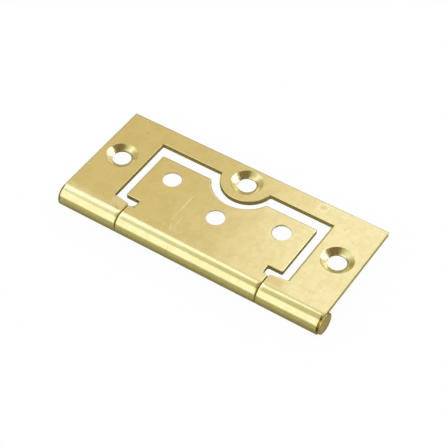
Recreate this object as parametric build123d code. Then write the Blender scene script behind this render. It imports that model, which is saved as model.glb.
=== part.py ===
"""Flush hinge: two pressed brass leaves that nest in one plane, joined by a headed pin.

Frame, in millimetres: +Z up, out of the face that shows the outer leaf's countersinks.
X runs along the pin, with the pin's head at +X, and +Y runs away from the pin.
The origin is the centre of the outer leaf's middle screw hole, on the leaf's underside.
"""
from build123d import *
import os
from math import acos, degrees, hypot, sqrt

# Sheet and pin
SHEET = 1.25
PIN_DIAMETER = 3.7
PIN_CLEARANCE = 0.05
SEAM_GAP = 0.12
EDGE_BEVEL = 0.15

# Outer leaf
LEAF_LENGTH = 75.0
SIDE_RAIL = 12.4
LUG_WIDTH = 4.675
BACK_STRIP = 5.5
LUG_COVER = 0.25
LUG_FLARE = 0.75
TAB_RADIUS = 7.3
TAB_SETBACK = 0.9
HEAD_RELIEF = 0.5
HEAD_RELIEF_START = 0.5

# Inner leaf
JOINT_GAP = 0.25
SIDE_GAP = 2.45
BACK_GAP = 3.45
TAB_GAP = 2.55
SWING_CLEARANCE = 0.65
NECK_INSET = 0.2
NOTCH_UNDERCUT = 1.5

# Screw holes
SCREW_HOLE = 4.8
COUNTERSINK = 8.35
COUNTERSINK_LAND = 0.25
MIDDLE_HOLE_RIM = 0.925
OUTER_HOLE_OUTSET = 0.25
SIDE_HOLE_FROM_BACK = 5.65
INNER_HOLE_FROM_SIDE = 6.6
RECESS_TO_COUNTERSINK = 1.075
MIDDLE_HOLE_TO_PIN = 11.25

# Corner rounds of the punched blanks
BLANK_CORNER = 0.4
CUTOUT_CORNER = 0.3
TAB_CORNER = 0.6
LUG_CORNER = 0.6
NOTCH_TOP_CORNER = 0.5
NOTCH_BOTTOM_CORNER = 1.1

# Pin head and end
HEAD_INSET = 0.35
HEAD_THICKNESS = 0.35
HEAD_GAP = 0.05
HEAD_ROUND = 0.15
PIN_END_RECESS = 0.5
PIN_END_CHAMFER = 0.4

# Section through the sheet and the knuckle
pin_radius = PIN_DIAMETER / 2
bore_radius = pin_radius + PIN_CLEARANCE
knuckle_radius = bore_radius + SHEET
pin_z = SHEET - knuckle_radius

# Along the pin, from the middle outwards
half_length = LEAF_LENGTH / 2
half_cutout = half_length - SIDE_RAIL
outer_joint_x = half_cutout - LUG_WIDTH
inner_joint_x = outer_joint_x - JOINT_GAP
notch_x = inner_joint_x - NOTCH_UNDERCUT
half_inner = half_cutout - SIDE_GAP
outer_hole_x = half_cutout + SIDE_RAIL / 2 + OUTER_HOLE_OUTSET
inner_hole_x = half_inner - INNER_HOLE_FROM_SIDE

# Across the leaves, from the back edge to the pin
back_y = COUNTERSINK / 2 + MIDDLE_HOLE_RIM
cutout_back_y = back_y - BACK_STRIP
inner_back_y = cutout_back_y - BACK_GAP
side_hole_y = inner_back_y - SIDE_HOLE_FROM_BACK
recess_radius = TAB_RADIUS - TAB_SETBACK + TAB_GAP
inner_middle_y = -(recess_radius + RECESS_TO_COUNTERSINK + COUNTERSINK / 2)
pin_y = inner_middle_y - MIDDLE_HOLE_TO_PIN

# Round the pin: the lugs' front edge, and the shoulders that swing past it
lug_y = pin_y + knuckle_radius + LUG_COVER
lug_corner_y = lug_y + LUG_FLARE
lug_swing_radius = hypot(lug_corner_y - pin_y, knuckle_radius)
shoulder_y = pin_y + sqrt((lug_swing_radius + SWING_CLEARANCE) ** 2 - bore_radius**2)
neck_y = pin_y + knuckle_radius - NECK_INSET


def curl(start_x, end_x):
    """The stretch of sheet that is rolled round the pin, from its tangent with the leaf."""
    seam_angle = acos((bore_radius - SEAM_GAP) / knuckle_radius)
    reach = 2 * knuckle_radius
    open_part = Polygon(
        (0, 0),
        (0, reach),
        Vector(0, reach).rotate(Axis.Z, -degrees(seam_angle)),
        align=None,
    )
    section = Circle(knuckle_radius) - Circle(bore_radius) - open_part
    plane = Plane(origin=(start_x, pin_y, pin_z), x_dir=(0, 1, 0), z_dir=(1, 0, 0))
    return extrude(plane * section, amount=end_x - start_x)


def screw_hole(x, y, faces_up):
    """A punched clearance hole with its coined countersink."""
    hole = Pos(x, y, SHEET / 2) * Cylinder(SCREW_HOLE / 2, 2 * SHEET)
    cone_depth = SHEET - COUNTERSINK_LAND
    cone = Cone(SCREW_HOLE / 2, COUNTERSINK / 2, cone_depth)
    if faces_up:
        return hole + Pos(x, y, SHEET - cone_depth / 2) * cone
    return hole + Pos(x, y, cone_depth / 2) * Rot(180, 0, 0) * cone


def rounded(sketch, radius, x, y):
    """Round the sketch's corner at (x, y) and the one opposite it at (-x, y)."""
    corners = [v for v in sketch.vertices() if hypot(abs(v.X) - abs(x), v.Y - y) < 0.01]
    return fillet(corners, radius)


def outer_blank():
    """The outer leaf's outline, with the cut-out that the inner leaf nests in."""
    front_y = pin_y - knuckle_radius
    cutout = Polygon(
        (half_cutout, cutout_back_y),
        (half_cutout, lug_corner_y),
        (outer_joint_x, lug_y),
        (outer_joint_x, front_y),
        (-outer_joint_x, front_y),
        (-outer_joint_x, lug_y),
        (-half_cutout, lug_corner_y),
        (-half_cutout, cutout_back_y),
        align=None,
    )
    cutout -= Pos(0, TAB_SETBACK) * Circle(TAB_RADIUS)
    tab_x = sqrt(TAB_RADIUS**2 - (TAB_SETBACK - cutout_back_y) ** 2)
    cutout = rounded(cutout, TAB_CORNER, tab_x, cutout_back_y)
    cutout = rounded(cutout, CUTOUT_CORNER, half_cutout, cutout_back_y)
    cutout = rounded(cutout, CUTOUT_CORNER, half_cutout, lug_corner_y)
    cutout = rounded(cutout, LUG_CORNER, outer_joint_x, lug_y)
    plate = Pos(0, (back_y + pin_y) / 2) * Rectangle(LEAF_LENGTH, back_y - pin_y)
    plate = rounded(plate, BLANK_CORNER, half_length, back_y)
    return plate - cutout


def inner_blank():
    """The inner leaf's outline: back edge with its recess, shoulders, notches and neck."""
    outline = Polygon(
        (half_inner, inner_back_y),
        (half_inner, shoulder_y),
        (notch_x, shoulder_y),
        (notch_x, neck_y),
        (inner_joint_x, neck_y),
        (inner_joint_x, pin_y),
        (-inner_joint_x, pin_y),
        (-inner_joint_x, neck_y),
        (-notch_x, neck_y),
        (-notch_x, shoulder_y),
        (-half_inner, shoulder_y),
        (-half_inner, inner_back_y),
        align=None,
    )
    outline -= Circle(recess_radius)
    recess_x = sqrt(recess_radius**2 - inner_back_y**2)
    outline = rounded(outline, TAB_CORNER, recess_x, inner_back_y)
    outline = rounded(outline, BLANK_CORNER, half_inner, inner_back_y)
    outline = rounded(outline, BLANK_CORNER, half_inner, shoulder_y)
    outline = rounded(outline, NOTCH_TOP_CORNER, notch_x, shoulder_y)
    return rounded(outline, NOTCH_BOTTOM_CORNER, notch_x, neck_y)


def bevel_edges(leaf):
    """Bevel the top edge where the punch draws it down, all but the line where the curl starts."""
    top = leaf.edges().filter_by(lambda e: abs(e.bounding_box().min.Z - SHEET) < 0.001)
    outline = top.filter_by(lambda e: e.bounding_box().max.Y > pin_y + 0.01)
    rims = outline.filter_by(GeomType.CIRCLE).filter_by(
        lambda e: abs(e.radius - COUNTERSINK / 2) < 0.01 or abs(e.radius - SCREW_HOLE / 2) < 0.01
    )
    return chamfer([e for e in outline if e not in rims], EDGE_BEVEL)


def make_outer_leaf():
    leaf = extrude(outer_blank(), amount=SHEET, dir=(0, 0, 1))
    leaf += curl(-half_length, -outer_joint_x)
    leaf += curl(outer_joint_x, half_length)
    deep = 4 * knuckle_radius
    relief_x = half_length - HEAD_RELIEF
    start_y = pin_y - HEAD_RELIEF_START
    low_corner = (Align.MIN, Align.MAX, Align.MAX)
    leaf -= Pos(relief_x, start_y, 2 * SHEET) * Box(deep, deep, deep, align=low_corner)
    leaf -= Pos(relief_x, pin_y + deep / 2, 0) * Box(deep, deep, deep, align=low_corner)
    leaf = bevel_edges(leaf)
    leaf -= screw_hole(0, 0, True)
    for side in (-1, 1):
        leaf -= screw_hole(side * outer_hole_x, side_hole_y, True)
    return leaf


def make_inner_leaf():
    leaf = extrude(inner_blank(), amount=SHEET, dir=(0, 0, 1))
    leaf += curl(-inner_joint_x, inner_joint_x)
    leaf = bevel_edges(leaf)
    leaf -= screw_hole(0, inner_middle_y, False)
    for side in (-1, 1):
        leaf -= screw_hole(side * inner_hole_x, side_hole_y, False)
    return leaf


def make_hinge_pin():
    """The pin in one piece, with a thin flat head that stands just off the leaf's end."""
    end_x = -half_length + PIN_END_RECESS
    head_x = half_length + HEAD_GAP
    face_x = head_x + HEAD_THICKNESS
    head_radius = knuckle_radius - HEAD_INSET
    half_section = Polygon(
        (end_x, 0),
        (face_x, 0),
        (face_x, head_radius),
        (head_x, head_radius),
        (head_x, pin_radius),
        (end_x + PIN_END_CHAMFER, pin_radius),
        (end_x, pin_radius - PIN_END_CHAMFER),
        align=None,
    )
    plane = Plane(origin=(0, pin_y, pin_z), x_dir=(1, 0, 0), z_dir=(0, -1, 0))
    pin = revolve(plane * half_section, Axis((0, pin_y, pin_z), (1, 0, 0)))
    return fillet(pin.edges().sort_by(Axis.X)[-1], HEAD_ROUND)


pieces = {
    "outer_leaf": make_outer_leaf(),
    "inner_leaf": make_inner_leaf(),
    "hinge_pin": make_hinge_pin(),
}
for name, piece in pieces.items():
    export_step(piece, f"parts/{name}.step")
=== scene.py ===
"""Looks of the flush hinge: plated leaves, sheared edges, coined countersinks, pin and set."""
import math

import bpy
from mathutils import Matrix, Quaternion, Vector


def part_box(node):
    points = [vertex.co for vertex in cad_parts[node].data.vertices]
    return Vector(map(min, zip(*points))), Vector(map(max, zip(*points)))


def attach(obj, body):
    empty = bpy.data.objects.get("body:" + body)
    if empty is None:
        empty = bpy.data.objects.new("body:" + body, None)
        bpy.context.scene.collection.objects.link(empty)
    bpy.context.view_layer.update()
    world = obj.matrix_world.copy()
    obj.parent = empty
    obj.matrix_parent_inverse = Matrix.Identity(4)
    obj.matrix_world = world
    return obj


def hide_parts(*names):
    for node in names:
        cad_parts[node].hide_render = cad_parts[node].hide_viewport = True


bl_info = {
    "name": "Flush hinge",
    "version": (1, 0, 0),
    "blender": (4, 5, 0),
    "location": "View3D > Sidebar > Hinge",
    "description": "Finishes a brass flush hinge on its CAD frame, with floor, light and camera",
    "category": "Object",
}

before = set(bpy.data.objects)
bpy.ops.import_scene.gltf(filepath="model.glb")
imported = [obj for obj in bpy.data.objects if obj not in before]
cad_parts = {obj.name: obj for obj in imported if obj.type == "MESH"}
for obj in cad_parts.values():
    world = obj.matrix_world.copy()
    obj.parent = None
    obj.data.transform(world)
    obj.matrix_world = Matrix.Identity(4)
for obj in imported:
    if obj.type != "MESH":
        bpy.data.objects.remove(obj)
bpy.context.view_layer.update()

MM = 0.001

# Places on the hinge are in millimetres. These are read off its CAD nodes.
OUTER_LOW, OUTER_HIGH = (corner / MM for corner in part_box("outer_leaf"))
INNER_LOW, INNER_HIGH = (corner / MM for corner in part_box("inner_leaf"))
TOP = OUTER_HIGH.z
KNUCKLE_RADIUS = (OUTER_HIGH.z - OUTER_LOW.z) / 2
PIN_Y = OUTER_LOW.y + KNUCKLE_RADIUS
PIN_Z = OUTER_LOW.z + KNUCKLE_RADIUS

# These are known from the drawing of the hinge: its holes, with the middle one first
OUTER_HOLES = ((0.0, 0.0), (31.55, -9.5), (-31.55, -9.5))
INNER_HOLES = ((0.0, -14.2), (16.05, -9.5), (-16.05, -9.5))
COUNTERSINK_RADIUS = 4.175
HOLE_RADIUS = 2.4

# The cut-out of the outer leaf, with its tab and its two lugs
CUTOUT_SIDE = 25.1
CUTOUT_BACK = -0.4
TAB_CENTRE = (0.0, 0.9)
TAB_RADIUS = 7.3
LUG_SIDE = 20.425
LUG_FRONT = -22.05
LUG_FLARE = 0.16

# The inner leaf's recess, shoulders, notches and neck
RECESS_RADIUS = 8.95
SHOULDER_FRONT = -19.9
NOTCH_SIDE = 18.675
NECK_SIDE = 20.175
NECK_BACK = -22.5

# Where the knuckles of the two leaves meet
JOINT_X = (LUG_SIDE + NECK_SIDE) / 2

# How far a rolled edge is drawn down and given painted shade into the face, and how many times less
# a crisp edge is
RIM_WIDTH = 0.6
CRISP = 4.0

# Where the face starts to turn down into the curl, and the round spots on the rails
LEAD_IN = -24.85
ROUND_SPOT = (20.2, 3.2)
FAINT_SPOTS = ((28.2, -0.3), (31.9, -2.8), (-30.7, 0.7))


class HingeFinish(bpy.types.PropertyGroup):
    """Colours and sizes of the finish."""

    face_colour: bpy.props.FloatVectorProperty(
        name="Face colour", description="Colour of the bright plated faces",
        subtype="COLOR", size=3, min=0, max=1, default=(0.85, 0.70, 0.34),
    )
    edge_colour: bpy.props.FloatVectorProperty(
        name="Edge colour", description="Colour of the sheared edges, where the plating is thin",
        subtype="COLOR", size=3, min=0, max=1, default=(0.64, 0.53, 0.15),
    )
    pin_colour: bpy.props.FloatVectorProperty(
        name="Pin colour", description="Colour of the turned pin and its head",
        subtype="COLOR", size=3, min=0, max=1, default=(0.92, 0.70, 0.30),
    )
    roughness: bpy.props.FloatProperty(
        name="Roughness", description="Roughness of the bright faces",
        subtype="FACTOR", min=0, max=1, default=0.15,
    )
    edge_round: bpy.props.FloatProperty(
        name="Edge round", description="Width that every sharp edge is rounded over",
        unit="LENGTH", min=0, default=0.05 * MM,
    )


class HingeStage(bpy.types.PropertyGroup):
    """Sizes and colours of the set."""

    floor_size: bpy.props.FloatProperty(
        name="Floor size", description="Side of the square floor",
        unit="LENGTH", min=0.1, default=6.0,
    )
    floor_colour: bpy.props.FloatVectorProperty(
        name="Floor colour", description="Colour of the floor in the light",
        subtype="COLOR", size=3, min=0, max=1, default=(0.54, 0.54, 0.36),
    )
    white_to_eye: bpy.props.FloatProperty(
        name="White to the eye", description="Share of plain white in the floor that is seen",
        subtype="FACTOR", min=0, max=1, default=0.97,
    )
    white_in_metal: bpy.props.FloatProperty(
        name="White in metal", description="Share of plain white in what metal and glass show",
        subtype="FACTOR", min=0, max=1, default=0.06,
    )
    lens: bpy.props.FloatProperty(
        name="Lens", description="Focal length of the camera",
        unit="CAMERA", min=1, default=116.07,
    )
    camera_place: bpy.props.FloatVectorProperty(
        name="Camera place", description="Where the camera stands",
        subtype="XYZ", unit="LENGTH", size=3, default=(0.12979, -0.21116, 0.26046),
    )
    camera_target: bpy.props.FloatVectorProperty(
        name="Camera target", description="Where the camera looks",
        subtype="XYZ", unit="LENGTH", size=3, default=(0.00203, -0.01378, 0.0),
    )
    camera_roll: bpy.props.FloatProperty(
        name="Camera roll", description="How far the camera leans about its line of sight",
        subtype="ANGLE", unit="ROTATION", default=math.radians(0.55),
    )


class Wire:
    """One shader socket, which can stand in a sum like a number."""

    def __init__(self, tree, socket=None):
        self.tree = tree
        self.socket = socket

    def make(self, kind, inputs=None, out=0, **settings):
        """Add a node of that kind, set it up, feed it, and return one of its outputs."""
        node = self.tree.nodes.new(kind)
        for name, value in settings.items():
            setattr(node, name, value)
        for name, value in (inputs or {}).items():
            if isinstance(value, Wire):
                self.tree.links.new(value.socket, node.inputs[name])
            elif node.inputs[name].type == "RGBA" and len(value) == 3:
                node.inputs[name].default_value = (*value, 1)
            else:
                node.inputs[name].default_value = value
        return Wire(self.tree, node.outputs[out]) if len(node.outputs) else node

    def maths(self, operation, *values):
        """A Math node on these values, each of them a wire or a number."""
        return self.make("ShaderNodeMath", dict(enumerate(values)), operation=operation)

    def __add__(self, other):
        return self.maths("ADD", self, other)

    def __radd__(self, other):
        return self.maths("ADD", other, self)

    def __sub__(self, other):
        return self.maths("SUBTRACT", self, other)

    def __rsub__(self, other):
        return self.maths("SUBTRACT", other, self)

    def __mul__(self, other):
        return self.maths("MULTIPLY", self, other)

    def __rmul__(self, other):
        return self.maths("MULTIPLY", other, self)

    def __abs__(self):
        return self.maths("ABSOLUTE", self)


def fade(wire, start, end):
    """0 up to start and 1 past end, with a soft step between them; start may be the larger."""
    if start > end:
        return 1 - fade(wire, end, start)
    return wire.make(
        "ShaderNodeMapRange",
        {"Value": wire, "From Min": start, "From Max": end},
        interpolation_type="SMOOTHSTEP",
    )


def between(wire, low, high, soft):
    """1 from low to high and 0 outside, with soft shoulders."""
    return fade(wire, low - soft, low + soft) * fade(wire, high + soft, high - soft)


def largest(first, *others):
    for other in others:
        first = first.maths("MAXIMUM", first, other)
    return first


def smallest(first, *others):
    for other in others:
        first = first.maths("MINIMUM", first, other)
    return first


def mixed(factor, first, second):
    """A colour between two others."""
    colours = {"Factor": factor, "A": first, "B": second}
    return factor.make("ShaderNodeMix", colours, out="Result", data_type="RGBA")


def tinted(colour, shares):
    """A plain colour with each of its channels scaled."""
    return tuple(channel * share for channel, share in zip(colour, shares))


def place_in_mm(shader):
    """The place on the piece in millimetres, as one vector."""
    place = shader.make("ShaderNodeTexCoord", out="Object")
    return place.make("ShaderNodeVectorMath", {0: place, "Scale": 1 / MM}, operation="SCALE")


def split(vector):
    """The three parts of a vector."""
    parts = vector.make("ShaderNodeSeparateXYZ", {0: vector})
    return [Wire(vector.tree, socket) for socket in parts.socket.node.outputs]


def length_of(vector):
    return vector.make("ShaderNodeVectorMath", {0: vector}, out="Value", operation="LENGTH")


def flattened(vector, keep):
    """The vector with the parts dropped for which keep has 0."""
    return vector.make("ShaderNodeVectorMath", {0: vector, 1: keep}, operation="MULTIPLY")


def distance_to(vector, point):
    """Distance from a point, in the plane of the leaf."""
    ends = {0: flattened(vector, (1, 1, 0)), 1: (*point, 0)}
    return vector.make("ShaderNodeVectorMath", ends, out="Value", operation="DISTANCE")


def noise(vector, scale, detail=2.0, roughness=0.5):
    return vector.make(
        "ShaderNodeTexNoise",
        {"Vector": vector, "Scale": scale, "Detail": detail, "Roughness": roughness},
    )


def stroke(vector, start, end, width):
    """One mark drawn from start to end in the plane of the leaf: 1 on it and 0 beside it."""
    run = Vector(end) - Vector(start)
    x, y = split(vector)[:2]
    from_x = x - start[0]
    from_y = y - start[1]
    along = (from_x * run.x + from_y * run.y) * (1 / run.length)
    aside = abs((from_y * run.x - from_x * run.y) * (1 / run.length))
    soft = 0.2 * run.length
    in_length = between(along, 0.5 * soft, run.length - 0.5 * soft, soft)
    return in_length * fade(aside, width, 0.2 * width)


def scratches(vector, angle, length, width, threshold, seed):
    """Long thin marks that run one way: 1 on a mark and 0 beside it."""
    turned = vector.make(
        "ShaderNodeVectorRotate",
        {"Vector": vector, "Angle": math.radians(angle)},
        rotation_type="Z_AXIS",
    )
    scale = (1 / length, 1 / width, 0.05)
    drawn = turned.make(
        "ShaderNodeMapping",
        {"Vector": turned, "Location": (seed, 2 * seed, 0), "Scale": scale},
        vector_type="POINT",
    )
    return fade(noise(drawn, 1.0, 1.0), threshold, threshold + 0.05)


def rim(edge_distance, width):
    """How far the punch has drawn the sheet down near its edge: 1 at the edge and 0 past width."""
    near = edge_distance.make(
        "ShaderNodeMapRange",
        {"Value": edge_distance, "From Max": width, "To Min": 1.0, "To Max": 0.0},
    )
    return near * near


def outer_end(place):
    """Millimetres to the nearest end of the outer leaf's two knuckles."""
    x = split(place)[0]
    return smallest(abs(x) - LUG_SIDE, OUTER_HIGH.x - x, x - OUTER_LOW.x)


def inner_end(place):
    """Millimetres to the nearest end of the inner leaf's knuckle."""
    x = split(place)[0]
    return NECK_SIDE - abs(x)


def outer_edge(place):
    """Millimetres to the outer leaf's rolled edges; its crisp edges count as further away."""
    x, y = split(place)[:2]
    side = abs(x)
    tab = TAB_RADIUS - distance_to(place, TAB_CENTRE)
    lug_front = (side - LUG_SIDE) * LUG_FLARE + LUG_FRONT - y
    lug = smallest(lug_front, side - LUG_SIDE)
    back = y - CUTOUT_BACK
    left_rail = (-CUTOUT_SIDE - x) * CRISP + RIM_WIDTH
    right_rail = x - CUTOUT_SIDE
    cutout = largest(right_rail, left_rail, back * CRISP, tab * CRISP, lug * CRISP)
    return smallest(cutout, x - OUTER_LOW.x, OUTER_HIGH.y - y)


def inner_edge(place):
    """Millimetres to the inner leaf's rolled edges; its crisp edges count as further away."""
    x, y = split(place)[:2]
    neck = smallest(NECK_SIDE - abs(x), NECK_BACK - y)
    left_notch = x + NOTCH_SIDE
    right_notch = (NOTCH_SIDE - x) * CRISP + RIM_WIDTH
    shoulders = (y - SHOULDER_FRONT) * 2.0
    front = largest(shoulders, smallest(left_notch, right_notch), neck * CRISP)
    recess = (distance_to(place, (0.0, 0.0)) - RECESS_RADIUS) * 1.6
    # The right hole's rim gets the rolled edge's painted shade, on its left side only
    right_hole = (distance_to(place, INNER_HOLES[1]) - HOLE_RADIUS) * 1.1 + fade(x, 15.4, 17.2)
    return smallest(front, x - INNER_LOW.x, INNER_HIGH.y - y, recess, right_hole)


def on_top(z):
    """1 on the top of a leaf and 0 below it."""
    return fade(z, 0.2, 0.9)


def outer_knocks_and_light(place):
    """Marks and painted light on the outer leaf: how far it is worn or painted bright, and how far
    it is dull or painted dark.
    """
    x, y, z = split(place)
    from_spot = distance_to(place, ROUND_SPOT)
    ring = between(from_spot, 1.1, 1.5, 0.3)
    # The lighter patch on the left lug is painted light on a pressed facet
    lug_facet_light = fade(x, -25.0, -24.2) * fade(x, -20.4, -21.4) * between(y, -24.2, -21.6, 0.8)
    bright = largest(ring * 0.4, lug_facet_light * 0.55)

    spot = fade(from_spot, 0.9, 0.3)
    faint_spots = largest(*[fade(distance_to(place, at), 0.42, 0.15) for at in FAINT_SPOTS])
    # The crease round that facet is painted shade, and the bump also presses it in
    crease_bend = (-23.6, -23.2)
    crease = stroke(place, (-24.9, -21.4), crease_bend, 0.22)
    crease_end = stroke(place, crease_bend, (-21.4, -25.2), 0.22)
    # The right lug's face is darker here
    right_lug_darkening = fade(x, 20.4, 20.9) * fade(x, 25.4, 24.0) * between(y, -24.4, -22.2, 0.7)
    # Painted shade: this band tones down the left knuckle's highlight, and isn't wear
    painted_shade_band = fade(x, -20.5, -24.0) * between(y, PIN_Y - 1.1, PIN_Y - 0.35, 0.25)
    marks = (spot * 0.4, crease, crease_end * 0.9, faint_spots * 0.45, right_lug_darkening * 0.5)
    dark = largest(*marks, painted_shade_band * 0.22)
    return bright * on_top(z), dark * on_top(z)


def inner_knocks_and_light(place):
    """Marks on the inner leaf: how far it is worn bright, and how far a painted reflection darkens
    its knuckle.
    """
    z = split(place)[2]
    long_one = stroke(place, (-8.5, -17.2), (-8.5, -11.2), 0.32)
    low_one = stroke(place, (-8.6, -21.4), (-8.5, -16.8), 0.2)
    side_one = stroke(place, (-6.8, -21.9), (-6.9, -17.9), 0.18)
    foot = stroke(place, (-7.0, -23.6), (-8.0, -21.2), 0.3)
    bright = largest(long_one, low_one * 0.6, side_one * 0.6, foot * 0.5)
    # The dark line across the middle knuckle is a painted reflection
    knuckle_reflection = stroke(place, (-4.9, -30.0), (-4.9, -27.4), 0.16)
    return bright * on_top(z), knuckle_reflection * fade(z, -3.0, -2.0) * 0.6


def new_material(name):
    """An empty material, and a wire to build on."""
    material = bpy.data.materials.new(name)
    material.use_nodes = True
    material.node_tree.nodes.clear()
    return material, Wire(material.node_tree)


def finish_metal(shader, colour, roughness, height, depth_mm, metallic=1.0):
    """Close a metal: its colour, roughness and relief go to one shader."""
    normal = shader.make(
        "ShaderNodeBump", {"Height": height, "Distance": depth_mm * MM}, out="Normal"
    )
    metal = shader.make(
        "ShaderNodeBsdfPrincipled",
        {"Base Color": colour, "Roughness": roughness, "Metallic": metallic, "Normal": normal},
    )
    shader.make("ShaderNodeOutputMaterial", {"Surface": metal})


def turn_into_curl(x, y, z):
    """How far the face has turned down into the curl, which comes sooner towards the left end."""
    gentle = fade(x, -22.0, -30.0) * 0.5
    quick_turn = fade(y, LEAD_IN, LEAD_IN - 1.75) * (1 - gentle)
    slow_turn = fade(y, LEAD_IN + 1.6, LEAD_IN - 1.6) * gentle
    return (quick_turn + slow_turn) * fade(z, -1.0, 0.5)


def leaf_face(name, finish, seed, tilt, edge_distance, end_distance, knocks):
    """Bright plating over rolled sheet: a wavy surface with drawn-down rims, marks and darker
    patches, and painted light and shade on rims, ends, undersides and some marks.
    """
    material, shader = new_material(name)
    place = place_in_mm(shader)
    x, y, z = split(place)
    moved = place.make("ShaderNodeMapping", {"Vector": place, "Location": (seed, seed, 0)})
    clouds = noise(moved, 0.07, 3.0)
    blotches = noise(moved, 0.32, 3.0, 0.55)
    mottle = noise(moved, 0.7)
    grain = noise(moved, 6.0, 2.0, 0.6)
    long_marks = scratches(moved, 84, 9.0, 0.12, 0.66, seed)
    cross_marks = scratches(moved, 47, 7.0, 0.10, 0.68, seed + 7)
    marks = largest(long_marks, cross_marks) * fade(clouds, 0.42, 0.62)
    pits = fade(noise(moved, 1.6, 0.0), 0.80, 0.84) * fade(y, PIN_Y, PIN_Y + 1.5)
    # Besides marks, the knocks give painted light and shade: on the outer leaf's left lug and
    # knuckle, and on the middle knuckle
    bright, dark = knocks(place)
    edge = rim(edge_distance(place), RIM_WIDTH) * on_top(z)
    end = rim(end_distance(place), 0.9) * fade(y, PIN_Y + 0.5, PIN_Y - 0.3)

    full = finish.face_colour
    dull = tinted(full, (0.93, 0.91, 0.84))
    bare_and_shaded = tinted(full, (0.70, 0.62, 0.45))
    worn_and_lit = tinted(full, (1.17, 1.25, 1.70))
    clouded = fade(mottle, 0.40, 0.62) * 0.3 + fade(blotches, 0.42, 0.60) * 0.5
    colour = mixed(clouded, full, dull)
    # Pits and marks darken towards the bare colour, and so does the painted shade from the knocks
    colour = mixed(largest(pits * 0.5, marks * 0.25, dark), colour, bare_and_shaded)
    # Wear brightens towards the worn colour, and so does the painted light on the outer leaf's lug
    colour = mixed(bright, colour, worn_and_lit)
    # Painted shade along the rolled edges, where the face turns down
    colour = mixed(fade(edge, 0.10, 0.50) * 0.75, colour, (0.38, 0.34, 0.19))
    # The left knuckle's end and the undersides are toned as if in shade
    left_end = fade(x, OUTER_LOW.x + 0.65, OUTER_LOW.x + 0.4) * fade(y, PIN_Y + 0.2, PIN_Y - 0.4)
    colour = mixed(left_end * 0.9, colour, (0.14, 0.12, 0.05))
    underside = fade(z, -1.0, -3.0)
    colour = mixed(underside * 0.6, colour, (0.45, 0.39, 0.18))

    roughness = finish.roughness + mottle * 0.06 + marks * 0.07 + pits * 0.25 + end * 0.1
    sheet = clouds * 3.0 + blotches * 0.6 + mottle * 0.15 + grain * 0.01
    sheet = sheet - marks * 0.08 - pits * 0.4
    height = sheet - x * tilt - turn_into_curl(x, y, z) * 6.0 - edge * 3.0 - dark * 0.5 - end * 4.0
    finish_metal(shader, colour, roughness, height, 0.02)
    return material


def sheared_edge(name, finish, clean_end):
    """The edge that the punch leaves: a burnished lip over a torn, duller band.

    Past clean_end along the pin the lip is wider.
    """
    material, shader = new_material(name)
    place = place_in_mm(shader)
    x, y, z = split(place)
    tear = noise(place, 4.0, 4.0, 0.7)
    drawn = place.make("ShaderNodeMapping", {"Vector": place, "Scale": (6, 6, 0.6)})
    streaks = noise(drawn, 1.0, 3.0)
    lip = z + tear * 0.5 + fade(x, clean_end, clean_end + 0.1) * 0.5
    burnished = fade(lip, 0.75, 1.05)
    light = tinted(finish.face_colour, (0.86, 0.82, 0.66))
    torn = mixed(streaks, finish.edge_colour, (0.68, 0.56, 0.19))
    colour = mixed(burnished, torn, light)
    # The walls between the knuckles are toned as if in shade, and hardly shine
    joint = between(abs(x), JOINT_X - 0.3, JOINT_X + 0.3, 0.05) * fade(y, -21.6, -21.9)
    colour = mixed(joint, colour, (0.62, 0.47, 0.12))
    # So are the inner leaf's right hole and the left half of its middle one; none of it is wear
    right_hole = fade(distance_to(place, INNER_HOLES[1]), 2.8, 2.6)
    middle_hole = fade(distance_to(place, INNER_HOLES[0]), 2.8, 2.6) * fade(x, 0.4, -0.4)
    shaded_hole = largest(right_hole, middle_hole * 0.6)
    colour = mixed(shaded_hole * 0.9, colour, (0.13, 0.09, 0.04))
    roughness = 0.66 - burnished * 0.25 + tear * 0.1
    height = tear * 0.6 + streaks * 0.4
    finish_metal(shader, colour, roughness, height, 0.03, 1.0 - joint * 0.9)
    return material


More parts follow.
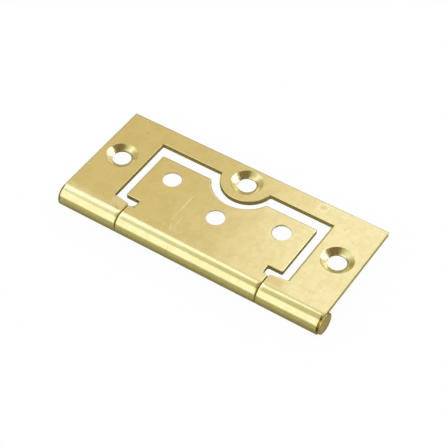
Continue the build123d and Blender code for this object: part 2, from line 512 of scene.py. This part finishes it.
def coined_cone(name, finish, holes):
    """The coined countersinks: streaks down the cone, with painted shade on parts of the cone, its
    near lip and a crescent.
    """
    material, shader = new_material(name)
    place = place_in_mm(shader)
    x, y = split(place)[:2]
    # The holes are numbered -1, 0 and 1 from left to right
    middle_y = holes[0][1]
    spacing, side_y = holes[1]
    number = x.maths("ROUND", x * (1 / spacing))
    from_x = x - number * spacing
    from_y = y - middle_y - abs(number) * (side_y - middle_y)
    from_hole = x.make("ShaderNodeCombineXYZ", {"X": from_x, "Y": from_y})
    radius = length_of(from_hole)

    around = x.make("ShaderNodeVectorMath", {0: from_hole}, operation="NORMALIZE")
    fan = x.make("ShaderNodeMapping", {"Vector": around, "Scale": (9, 9, 1)})
    depth = x.make("ShaderNodeCombineXYZ", {"Z": radius * 0.5 + number * 5.0})
    streaks = noise(x.make("ShaderNodeVectorMath", {0: fan, 1: depth}, operation="ADD"), 1.0)
    chatter = noise(place, 1.5, 3.0)
    rings = x.maths("SINE", radius * 24.0)

    full = tinted(finish.face_colour, (1.04, 1.04, 1.04))
    dull = tinted(full, (0.84, 0.82, 0.76))
    colour = mixed(fade(streaks, 0.45, 0.62), full, dull)
    # These tones follow how the light falls into the countersinks, and aren't wear
    right_cone_shade = fade(radius + chatter * 0.5, 3.2, 2.8) * fade(from_x, 0.5, 1.8)
    far_cone_shade = fade(radius, 2.75, 2.5) * fade(from_y, 0.9, 1.5) * fade(number, 0.0, -0.5)
    cone_shade = largest(right_cone_shade, far_cone_shade)
    colour = mixed(cone_shade * 0.8, colour, (0.36, 0.27, 0.09))
    near_lip = fade(radius, 3.7, 4.0) * fade(from_y + from_x * 0.35, -1.4, -2.8)
    colour = mixed(near_lip * 0.65, colour, (0.40, 0.33, 0.10))
    crescent = fade(number, 0.4, 0.8) * fade(from_x, 2.5, 3.0) * between(from_y, -2.2, 1.7, 0.5)
    colour = mixed(crescent * 0.6, colour, (0.42, 0.36, 0.10))

    roughness = 0.17 + chatter * 0.08 + streaks * 0.06 + cone_shade * 0.2
    height = radius * 1.8 + rings * 0.05 + chatter * 0.6 + streaks * 1.1
    finish_metal(shader, colour, roughness, height, 0.02)
    return material


def turned_pin(name, finish):
    """The pin: turned metal with fine rings round its axis, and a dull, lightly knocked head with
    painted shade round its rim.
    """
    material, shader = new_material(name)
    place = place_in_mm(shader)
    centre = (0, -PIN_Y, -PIN_Z)
    centred = place.make("ShaderNodeMapping", {"Vector": place, "Location": centre})
    along, across = split(centred)[:2]
    radius = length_of(flattened(centred, (0, 1, 1)))
    rings = radius.maths("SINE", (radius + along) * 18.0)
    knocks = noise(place, 1.1, 4.0, 0.6)
    dark = tinted(finish.pin_colour, (0.78, 0.78, 0.78))
    colour = mixed(fade(knocks, 0.38, 0.66), finish.pin_colour, dark)
    # Painted shade: the head's rim is darker, more so on one side
    head_rim_shade = fade(radius, 2.2, 2.6) * (0.45 + fade(across, -1.0, 1.4) * 0.4)
    colour = mixed(head_rim_shade, colour, (0.42, 0.30, 0.10))
    roughness = 0.30 + knocks * 0.14
    finish_metal(shader, colour, roughness, rings * 0.06 + knocks * 1.2, 0.02)
    return material


def select_only(piece):
    bpy.ops.object.select_all(action="DESELECT")
    piece.select_set(True)
    bpy.context.view_layer.objects.active = piece


def skin_of(node, name):
    """Copy a CAD node into a piece of its own, with its loose triangles joined into clean faces."""
    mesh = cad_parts[node].data.copy()
    mesh.name = name
    mesh.materials.clear()
    piece = bpy.data.objects.new(name, mesh)
    bpy.context.scene.collection.objects.link(piece)
    select_only(piece)
    if mesh.has_custom_normals:
        bpy.ops.mesh.customdata_custom_splitnormals_clear()
    bpy.ops.object.mode_set(mode="EDIT")
    bpy.ops.mesh.select_all(action="SELECT")
    bpy.ops.mesh.remove_doubles(threshold=0.002 * MM)
    bpy.ops.mesh.dissolve_limited(angle_limit=math.radians(0.4))
    bpy.ops.object.mode_set(mode="OBJECT")
    return piece


def round_edges(piece, width):
    """Round every sharp edge a little, as tumbling and plating leave it, and smooth the curves."""
    select_only(piece)
    bevel = piece.modifiers.new("edge_round", "BEVEL")
    bevel.width = width
    bevel.segments = 2
    bevel.limit_method = "ANGLE"
    bevel.angle_limit = math.radians(25)
    bevel.use_clamp_overlap = True
    bpy.ops.object.modifier_apply(modifier=bevel.name)
    bpy.ops.object.mode_set(mode="EDIT")
    bpy.ops.mesh.select_all(action="SELECT")
    bpy.ops.mesh.dissolve_degenerate(threshold=0.0005 * MM)
    bpy.ops.object.mode_set(mode="OBJECT")
    bpy.ops.object.shade_smooth()
    even = piece.modifiers.new("even_normals", "WEIGHTED_NORMAL")
    even.weight = 80
    bpy.ops.object.modifier_apply(modifier=even.name)


def paint_leaf(piece, holes, cone_side):
    """Give each face of a leaf its finish: plated face, sheared edge or coined cone.

    cone_side is 1 where the countersinks open upwards, and -1 where they open downwards.
    """
    face, edge, cone = range(3)
    slack = 0.1
    upright = 0.3
    level = 0.97
    for polygon in piece.data.polygons:
        centre = polygon.center / MM
        normal = polygon.normal
        rise = abs(normal.z)
        from_hole = min(math.dist(centre.xy, hole) for hole in holes)
        at_bore = from_hole < HOLE_RADIUS + slack
        in_plate = centre.y > PIN_Y + 0.05 and -0.02 < centre.z < TOP + 0.02
        finish = face
        if in_plate and from_hole < COUNTERSINK_RADIUS + slack:
            if rise < upright:
                finish = cone if cone_side > 0 else edge
            elif rise < level and (cone_side * normal.z > upright or at_bore):
                finish = cone
        elif in_plate and rise < 0.5:
            finish = edge
        elif abs(normal.x) > 0.7 and centre.x < JOINT_X + 0.25:
            finish = edge
        polygon.material_index = finish


def hand_over(piece, body, node):
    """Seat a finished piece: it rides on its body and stands for its CAD node."""
    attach(piece, body)
    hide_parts(node)


class HINGE_OT_outer_leaf(bpy.types.Operator):
    """Finish the outer leaf: its plate with cut-out and tab, three countersinks, two knuckles"""

    bl_idname = "hinge.outer_leaf"
    bl_label = "Outer leaf"

    def execute(self, context):
        finish = context.scene.hinge_finish
        piece = skin_of("outer_leaf", "outer_leaf_plated")
        round_edges(piece, finish.edge_round)
        piece.data.materials.append(leaf_face(
            "outer_leaf_face", finish, seed=3.0, tilt=0.0,
            edge_distance=outer_edge, end_distance=outer_end, knocks=outer_knocks_and_light,
        ))
        piece.data.materials.append(sheared_edge("outer_leaf_edge", finish, OUTER_HIGH.x))
        piece.data.materials.append(coined_cone("outer_leaf_cone", finish, OUTER_HOLES))
        paint_leaf(piece, OUTER_HOLES, 1)
        hand_over(piece, "outer", "outer_leaf")
        return {"FINISHED"}


class HINGE_OT_inner_leaf(bpy.types.Operator):
    """Finish the inner leaf: its plate with recess and notches, three holes, long knuckle"""

    bl_idname = "hinge.inner_leaf"
    bl_label = "Inner leaf"

    def execute(self, context):
        finish = context.scene.hinge_finish
        piece = skin_of("inner_leaf", "inner_leaf_plated")
        round_edges(piece, finish.edge_round)
        piece.data.materials.append(leaf_face(
            "inner_leaf_face", finish, seed=41.0, tilt=0.35,
            edge_distance=inner_edge, end_distance=inner_end, knocks=inner_knocks_and_light,
        ))
        piece.data.materials.append(sheared_edge("inner_leaf_edge", finish, INNER_HIGH.x - 0.15))
        piece.data.materials.append(coined_cone("inner_leaf_cone", finish, INNER_HOLES))
        paint_leaf(piece, INNER_HOLES, -1)
        hand_over(piece, "inner", "inner_leaf")
        return {"FINISHED"}


class HINGE_OT_pin(bpy.types.Operator):
    """Finish the headed pin"""

    bl_idname = "hinge.pin"
    bl_label = "Pin"

    def execute(self, context):
        finish = context.scene.hinge_finish
        piece = skin_of("hinge_pin", "hinge_pin_turned")
        round_edges(piece, finish.edge_round)
        piece.data.materials.append(turned_pin("hinge_pin_metal", finish))
        hand_over(piece, "outer", "hinge_pin")
        return {"FINISHED"}


def softbox(name, toward, width, height, radiance, colour, spin=0):
    """A soft lamp a metre away that faces the hinge from the given direction."""
    direction = Vector(toward).normalized()
    facing = direction.to_track_quat("Z", "Y")
    turn = (facing @ Quaternion((0, 0, 1), math.radians(spin))).to_euler()
    bpy.ops.object.light_add(
        type="AREA", location=Vector((0, PIN_Y * MM, 0)) + direction, rotation=turn
    )
    lamp = bpy.context.object
    lamp.name = name
    lamp.data.shape = "RECTANGLE"
    lamp.data.size = width
    lamp.data.size_y = height
    lamp.data.energy = math.pi * width * height * radiance
    lamp.data.color = colour
    lamp.visible_camera = False


def hang_lamps():
    softbox("rear_softbox", (0.12, 0.70, 0.70), width=0.95, height=0.60,
            radiance=0.42, colour=(0.66, 0.76, 1.0))
    softbox("rear_key", (0.38, 0.62, 0.70), width=0.34, height=0.62,
            radiance=3.2, colour=(0.66, 0.74, 1.0))
    softbox("top_strip", (-0.475, 0.205, 0.845), width=0.60, height=0.40,
            radiance=1.18, colour=(0.58, 0.66, 1.0), spin=113)
    softbox("front_softbox", (-0.35, -0.73, 0.58), width=1.5, height=0.79,
            radiance=1.0, colour=(0.56, 0.66, 1.0))


def ray_kinds(shader):
    """Wires that are 1 on camera rays, and 1 on rays that metal or glass sends on."""
    path = shader.make("ShaderNodeLightPath", out="Is Camera Ray")
    outputs = path.socket.node.outputs
    glossy = Wire(shader.tree, outputs["Is Glossy Ray"])
    return path, glossy + Wire(shader.tree, outputs["Is Transmission Ray"])


def room_colour(shader):
    """What the metal sees of the room: a rear wall, a ceiling, a front wall and the left end.

    x is how far a direction points to the right. lean is its angle from straight up in degrees,
    plus towards the front, which is the knuckles' side, and minus towards the rear.
    """
    x, y, z = split(shader.make("ShaderNodeTexCoord", out="Generated"))
    lean = x.maths("ARCTAN2", y * -1.0, z) * math.degrees(1)
    above_wall = fade(lean, -34, -26)

    left_part = mixed(fade(lean, -46, -56), (0.72, 0.65, 0.43), (0.63, 0.60, 0.50))
    right_part = mixed(fade(x, -0.285, -0.25), (0.98, 1.04, 1.22), (0.80, 0.84, 0.88))
    wall = mixed(fade(x, -0.36, -0.295), left_part, right_part)
    wall = mixed(fade(x, -0.50, -0.62), wall, (0.65, 0.64, 0.52))

    ceiling = mixed(fade(x, -0.50, -0.30), (1.05, 1.25, 1.50), (0.63, 0.71, 0.52))
    ceiling = mixed(fade(x, -0.36, -0.28), ceiling, (0.59, 0.64, 0.44))
    front = mixed(fade(lean, 70, 112), (0.66, 0.72, 0.55), (0.20, 0.20, 0.13))

    room = mixed(above_wall, wall, ceiling)
    room = mixed(fade(lean, 10, 30), room, front)
    room = mixed(fade(x, -0.72, -0.84), room, (0.55, 0.50, 0.33))
    # A dark patch overhead shades one side of the countersinks
    patch_rear = largest(above_wall * fade(x, 0.15, 0.25), fade(lean, -12, -6))
    patch = fade(x, -0.15, -0.06) * patch_rear * fade(lean, 34, 24)
    return mixed(patch, room, (0.14, 0.10, 0.015))


def light_the_room(settings):
    """The room round the hinge: white to the eye, and a soft studio to everything else."""
    world = bpy.data.worlds.new("soft_studio")
    bpy.context.scene.world = world
    world.use_nodes = True
    world.node_tree.nodes.clear()
    shader = Wire(world.node_tree)
    camera, metal = ray_kinds(shader)
    seen = camera + metal * settings.white_in_metal
    room = room_colour(shader)
    studio = shader.make("ShaderNodeBackground", {"Color": room, "Strength": 1.0})
    white = shader.make("ShaderNodeBackground", {"Color": (1, 1, 1), "Strength": 1.0})
    both = shader.make("ShaderNodeMixShader", {0: seen, 1: studio, 2: white})
    shader.make("ShaderNodeOutputWorld", {"Surface": both})


def floor_material(settings):
    """A plain pale floor, white to the eye, which keeps a faint shadow."""
    material, shader = new_material("pale_floor")
    camera, metal = ray_kinds(shader)
    seen = camera * settings.white_to_eye + metal * settings.white_in_metal
    colour = mixed(camera, settings.floor_colour, (1.0, 1.0, 1.0))
    matt = shader.make("ShaderNodeBsdfDiffuse", {"Color": colour})
    white = shader.make("ShaderNodeEmission", {"Color": (1, 1, 1), "Strength": 1.0})
    both = shader.make("ShaderNodeMixShader", {0: seen, 1: matt, 2: white})
    shader.make("ShaderNodeOutputMaterial", {"Surface": both})
    return material


def lay_floor(settings):
    bpy.ops.object.select_all(action="DESELECT")
    bpy.ops.mesh.primitive_plane_add(
        size=settings.floor_size, location=(0, 0, OUTER_LOW.z * MM)
    )
    floor = bpy.context.object
    floor.name = "floor"
    floor.data.materials.append(floor_material(settings))


def set_up_camera(scene, settings):
    bpy.ops.object.camera_add(location=settings.camera_place)
    camera = bpy.context.object
    camera.name = "camera"
    sight = Vector(settings.camera_target) - Vector(settings.camera_place)
    level = sight.to_track_quat("-Z", "Y")
    camera.rotation_euler = (level @ Quaternion((0, 0, 1), settings.camera_roll)).to_euler()
    camera.data.lens = settings.lens
    camera.data.clip_start = 0.01
    scene.camera = camera
    scene.view_settings.view_transform = "Standard"


class HINGE_OT_stage(bpy.types.Operator):
    """Lay the floor, hang the lamps and set up the camera"""

    bl_idname = "hinge.stage"
    bl_label = "Stage"

    def execute(self, context):
        settings = context.scene.hinge_stage
        lay_floor(settings)
        light_the_room(settings)
        hang_lamps()
        set_up_camera(context.scene, settings)
        return {"FINISHED"}


class HINGE_PT_panel(bpy.types.Panel):
    """The sidebar tab that lists the steps and their settings"""

    bl_idname = "HINGE_PT_panel"
    bl_label = "Flush hinge"
    bl_space_type = "VIEW_3D"
    bl_region_type = "UI"
    bl_category = "Hinge"

    def draw(self, context):
        for settings in (context.scene.hinge_finish, context.scene.hinge_stage):
            for name in settings.bl_rna.properties.keys():
                if name not in ("rna_type", "name"):
                    self.layout.prop(settings, name)
        for step in STEPS:
            self.layout.operator(step.bl_idname)


STEPS = (HINGE_OT_outer_leaf, HINGE_OT_inner_leaf, HINGE_OT_pin, HINGE_OT_stage)
CLASSES = (HingeFinish, HingeStage, *STEPS, HINGE_PT_panel)


def register():
    for item in CLASSES:
        bpy.utils.register_class(item)
    bpy.types.Scene.hinge_finish = bpy.props.PointerProperty(type=HingeFinish)
    bpy.types.Scene.hinge_stage = bpy.props.PointerProperty(type=HingeStage)


def unregister():
    del bpy.types.Scene.hinge_stage
    del bpy.types.Scene.hinge_finish
    for item in reversed(CLASSES):
        bpy.utils.unregister_class(item)


def main():
    register()
    bpy.ops.hinge.outer_leaf()
    bpy.ops.hinge.inner_leaf()
    bpy.ops.hinge.pin()
    bpy.ops.hinge.stage()


if __name__ == "__main__":
    main()
